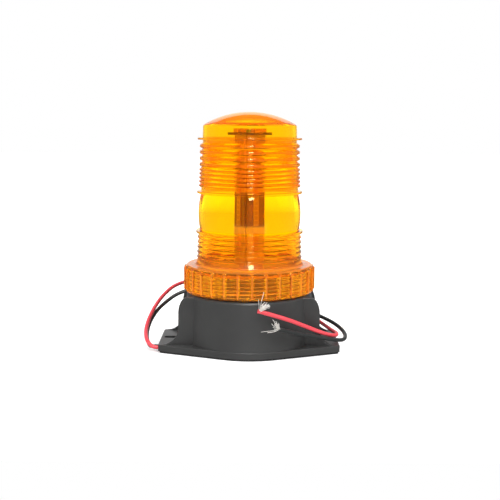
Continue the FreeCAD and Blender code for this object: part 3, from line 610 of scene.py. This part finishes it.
STRAND_RADIUS = 0.15
STRAND_ROWS, STRAND_SIDES = 15, 6
STRAND_AHEAD = 1.8
STRAND_SHORTEST, STRAND_LONGEST = 0.6, 1.1
ROOT_SPREAD, TIP_SPREAD, CURL_SPREAD = 0.34, 1.0, 0.35
LEAN_POWER, SPREAD_POWER = 1.6, 1.4
CURL_TURN = 7
STRAY_COUNT = 2
TUFT_FRONT = -47.85


def insulation(name, dark, light):
    """Soft extruded insulation with a faint wavy skin."""
    material, shader, place = new_material(name, {"Specular IOR Level": 0.5})
    skin = place.noise(500.0, 3.0)
    skin.blend(dark, light).feed(shader, "Base Color")
    (0.3 + skin * 0.16).feed(shader, "Roughness")
    skin.bump(0.12, 0.0002).feed(shader, "Normal")
    return material


def free_lead(name, route, material):
    """Round cord along a smooth line that has the route's points as control points."""
    curve = bpy.data.curves.new(name, "CURVE")
    curve.dimensions = "3D"
    curve.bevel_depth = LEAD_DIAMETER / 2
    curve.bevel_resolution = 6
    curve.resolution_u = 8
    curve.use_fill_caps = True
    spline = curve.splines.new("NURBS")
    spline.points.add(len(route) - 1)
    places = np.column_stack([np.array(route) * MM, np.ones(len(route))])
    spline.points.foreach_set("co", places.ravel())
    spline.order_u = 3
    spline.use_endpoint_u = True
    curve.materials.append(material)
    piece = bpy.data.objects.new(name, curve)
    bpy.context.scene.collection.objects.link(piece)
    return piece


def unit(vectors):
    """Vectors of length 1, along the last axis."""
    return vectors / np.linalg.norm(vectors, axis=-1, keepdims=True)


def bare_strands(name, route, lean, stray_lean, count, seed, material):
    """Tuft of tinned strands: round wires that leave the lead's end, bend over and fan out.

    A strand's line is end + along * s + lean * s to a power + its own spread and curl; the first few
    are strays with a lean of their own. None comes further forward than TUFT_FRONT.
    """
    random = np.random.default_rng(seed)
    end = np.array(route[-1])
    along = unit(end - np.array(route[-2]))
    share = np.linspace(0, 1, STRAND_ROWS)[None, :, None]
    length = random.uniform(STRAND_SHORTEST, STRAND_LONGEST, (count, 1, 1))
    root = random.normal(0, ROOT_SPREAD, (count, 1, 3))
    spread = random.normal(0, TIP_SPREAD, (count, 1, 3))
    curl = random.normal(0, CURL_SPREAD, (count, 1, 3))
    phase = random.uniform(0, 2 * np.pi, (count, 1, 1))
    stray = (np.arange(count) < STRAY_COUNT)[:, None, None]
    leans = np.where(stray, np.array(stray_lean), np.array(lean))
    line = end - along + root + along * share * STRAND_AHEAD * length + leans * share ** LEAN_POWER * length
    line = line + spread * share ** SPREAD_POWER * length + curl * np.sin(phase + CURL_TURN * share) * share
    line[:, :, 1] = np.maximum(line[:, :, 1], TUFT_FRONT)
    heading = unit(np.gradient(line, axis=1))
    side = unit(np.cross(heading, np.array([0.0, 1.0, 0.0])))
    other = np.cross(heading, side)
    turn = np.linspace(0, 2 * np.pi, STRAND_SIDES, endpoint=False)[:, None]
    ring = side[:, :, None] * np.cos(turn) + other[:, :, None] * np.sin(turn)
    points = (line[:, :, None] + STRAND_RADIUS * ring) * MM
    index = np.arange(points.size // 3).reshape(points.shape[:3])
    after = np.roll(index, -1, axis=2)
    quads = np.stack([index[:, :-1], after[:, :-1], after[:, 1:], index[:, 1:]], axis=-1)
    faces = quads.reshape(-1, 4).tolist() + index[:, 0, ::-1].tolist() + index[:, -1].tolist()
    mesh = bpy.data.meshes.new(name)
    mesh.from_pydata(points.reshape(-1, 3).tolist(), [], faces)
    mesh.polygons.foreach_set("use_smooth", np.ones(len(faces), dtype=bool))
    mesh.materials.append(material)
    piece = bpy.data.objects.new(name, mesh)
    bpy.context.scene.collection.objects.link(piece)
    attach(piece, "base")
    return piece


tinned, shader, place = new_material("tinned_copper", {"Metallic": 0.35})
tarnish = place.noise(700.0, 3.0)
tarnish.blend((0.72, 0.69, 0.64), (0.88, 0.86, 0.82)).feed(shader, "Base Color")
(0.3 + tarnish * 0.2).feed(shader, "Roughness")

red_skin = insulation("red_insulation", (0.7, 0.05, 0.07), (0.84, 0.075, 0.095))
black_skin = insulation("black_insulation", (0.018, 0.02, 0.02), (0.032, 0.034, 0.034))
dress(red_skin, "red_lead_inner")
dress(black_skin, "black_lead_inner")
for colour, route, skin, length, lean, stray_lean, count, seed in (
    ("red", RED_ROUTE, red_skin, 0.2940, (5.6, -0.2, 3.2), (1.5, 0.2, 8.5), 64, 4),
    ("black", BLACK_ROUTE, black_skin, 0.2724, (-1.2, -0.3, 3.2), (-8.5, 0.2, -3.2), 26, 9),
):
    strands = bare_strands(f"{colour}_strands", route, lean, stray_lean, count, seed, tinned)
    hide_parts(f"{colour}_lead_strands")
    lead = free_lead(f"{colour}_lead_cord", route, skin)
    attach(lead, "base")
    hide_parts(f"{colour}_lead")
    leaves = tuple(value * MM for value in route[0])

# Studio
# A white table in front of a white background. Reflections see a grey screen round the front and
# sides, a dark roof over the back, a bright card above the camera and dimmer ones below it. The
# bright card and a card behind also shine through the lens. Soft lights give the shading.
WHITE = (1.0, 1.0, 1.0, 1.0)
BLACK = (0.0, 0.0, 0.0, 1.0)
AMBIENT = 0.5
TABLE_HALF_WIDTH = 3.0
TABLE_FRONT, TABLE_BACK = -0.2, 4.0
TABLE_LEVEL = -0.0001
TABLE_NEAR_GLOW = 0.3
TABLE_LENS_GLOW = 0.66
TABLE_FAR_OFF = (0.1, 0.7)
CARD_MIDDLE = 0.09
CARD_ROWS, CARD_COLUMNS = 17, 33
LIGHT_MIDDLE = 0.08


def ray_is(tree, kind):
    """1 for Camera, Glossy or Transmission rays, as named, and 0 for the others."""
    return Wire(tree).node("LightPath", {}, {}, f"Is {kind} Ray")


def grid_piece(name, points, material):
    """Mesh of a grid of points, rows by columns."""
    rows, columns = points.shape[:2]
    index = np.arange(rows * columns).reshape(rows, columns)
    quads = np.stack([index[:-1, :-1], index[:-1, 1:], index[1:, 1:], index[1:, :-1]], axis=-1)
    mesh = bpy.data.meshes.new(name)
    mesh.from_pydata(points.reshape(-1, 3).tolist(), [], quads.reshape(-1, 4).tolist())
    mesh.materials.append(material)
    piece = bpy.data.objects.new(name, mesh)
    bpy.context.scene.collection.objects.link(piece)
    return piece


paper = {"Base Color": (0.86, 0.86, 0.86, 1.0), "Roughness": 0.9, "Specular IOR Level": 0.0}
table_top, shader, place = new_material("white_table", paper | {"Emission Strength": 1.0})
far_off = place.from_axis().band(*TABLE_FAR_OFF)
seen = ray_is(table_top.node_tree, "Camera") * (TABLE_NEAR_GLOW + far_off * (1 - TABLE_NEAR_GLOW))
glow = seen + ray_is(table_top.node_tree, "Transmission") * TABLE_LENS_GLOW
glow.blend(BLACK[:3], WHITE[:3]).feed(shader, "Emission Color")
sides = np.array([-TABLE_HALF_WIDTH, TABLE_HALF_WIDTH])
across, away = np.meshgrid(sides, np.array([TABLE_FRONT, TABLE_BACK]), indexing="xy")
table = grid_piece("table", np.stack([across, away, np.full_like(across, TABLE_LEVEL)], axis=-1), table_top)
table.visible_glossy = False


def reflected_card(name, radiance, azimuth, elevation, distance, seen_through):
    """Part of a ball round the light, between two azimuths and two elevations, that glows evenly.

    Only reflections see it and, where seen_through is set, rays that have passed the lens.
    """
    dark = {"Base Color": BLACK, "Roughness": 1.0, "Specular IOR Level": 0.0}
    material = new_material(name, dark | {"Emission Color": WHITE, "Emission Strength": radiance})[0]
    turns = np.radians(np.linspace(*azimuth, CARD_COLUMNS))
    rises = np.radians(np.linspace(*elevation, CARD_ROWS))
    turn, rise = np.meshgrid(turns, rises)
    x = distance * np.cos(rise) * np.sin(turn)
    y = -distance * np.cos(rise) * np.cos(turn)
    z = CARD_MIDDLE + distance * np.sin(rise)
    card = grid_piece(name, np.stack([x, y, z], axis=-1), material)
    card.visible_camera = False
    card.visible_diffuse = False
    card.visible_shadow = False
    card.visible_transmission = seen_through
    return card


reflected_card("front_screen", 0.2, (-160, 160), (-80, 90), 1.9, False)
reflected_card("back_roof", 0.1, (160, 200), (32, 90), 1.9, False)
reflected_card("bright_card", 32.0, (-3.0, 10.0), (18.5, 60.0), 1.5, True)
back_card = reflected_card("back_card", 1.3, (100, 260), (-10, 60), 1.7, True)
back_card.visible_glossy = False
reflected_card("dim_card", 0.5, (-3.0, 10.0), (-22, 18.5), 1.5, False)
reflected_card("table_card", 0.9, (-36, 40), (-60, -12.5), 1.4, False)

world = bpy.data.worlds.new("studio")
world.use_nodes = True
sky = world.node_tree.nodes["Background"]
sky.inputs["Color"].default_value = WHITE
seen_or_mirrored = ray_is(world.node_tree, "Camera").most(ray_is(world.node_tree, "Glossy"))
shows_background = seen_or_mirrored.most(ray_is(world.node_tree, "Transmission"))
(shows_background * (1 - AMBIENT) + AMBIENT).feed(sky, "Strength")
bpy.context.scene.world = world


def soft_light(name, azimuth, elevation, distance, width, height, radiance):
    """Rectangular soft light that faces the middle of the light, with a brightness per area."""
    lamp = bpy.data.lights.new(name, "AREA")
    lamp.shape = "RECTANGLE"
    lamp.size = width
    lamp.size_y = height
    lamp.energy = radiance * width * height * math.pi
    piece = bpy.data.objects.new(name, lamp)
    bpy.context.scene.collection.objects.link(piece)
    turn = math.radians(azimuth)
    rise = math.radians(elevation)
    piece.location = (
        distance * math.sin(turn) * math.cos(rise),
        -distance * math.cos(turn) * math.cos(rise),
        LIGHT_MIDDLE + distance * math.sin(rise),
    )
    piece.rotation_euler = (math.radians(90) - rise, 0, turn)
    piece.visible_glossy = False
    piece.visible_transmission = False


soft_light("front_light", 5.5, 40, 1.1, 0.4, 1.0, 0.25)
soft_light("left_light", -65, 35, 1.3, 0.7, 0.9, 6.8)
soft_light("right_light", 60, 40, 1.3, 0.7, 0.9, 8.2)
soft_light("top_light", 180, 75, 1.2, 0.9, 0.7, 3.4)

# Light paths and camera
# A clear moulding passes light many times from wall to wall, so paths may bounce longer. The
# camera has the photograph's own viewpoint: a little above the lens belt, tilted down eight degrees.
bounces = bpy.context.scene.cycles
bounces.max_bounces = 40
bounces.glossy_bounces = 24
bounces.transmission_bounces = 40

camera_data = bpy.data.cameras.new("camera")
camera_data.sensor_width = 36.0
camera_data.lens = 63.0
camera_data.shift_x = 0.0013
camera = bpy.data.objects.new("camera", camera_data)
camera.location = (0.0, -0.5555, 0.1405)
camera.rotation_euler = (math.radians(82.0), math.radians(-0.297), math.radians(0.042))
bpy.context.scene.collection.objects.link(camera)
bpy.context.scene.camera = camera
bpy.context.scene.view_settings.view_transform = "Standard"
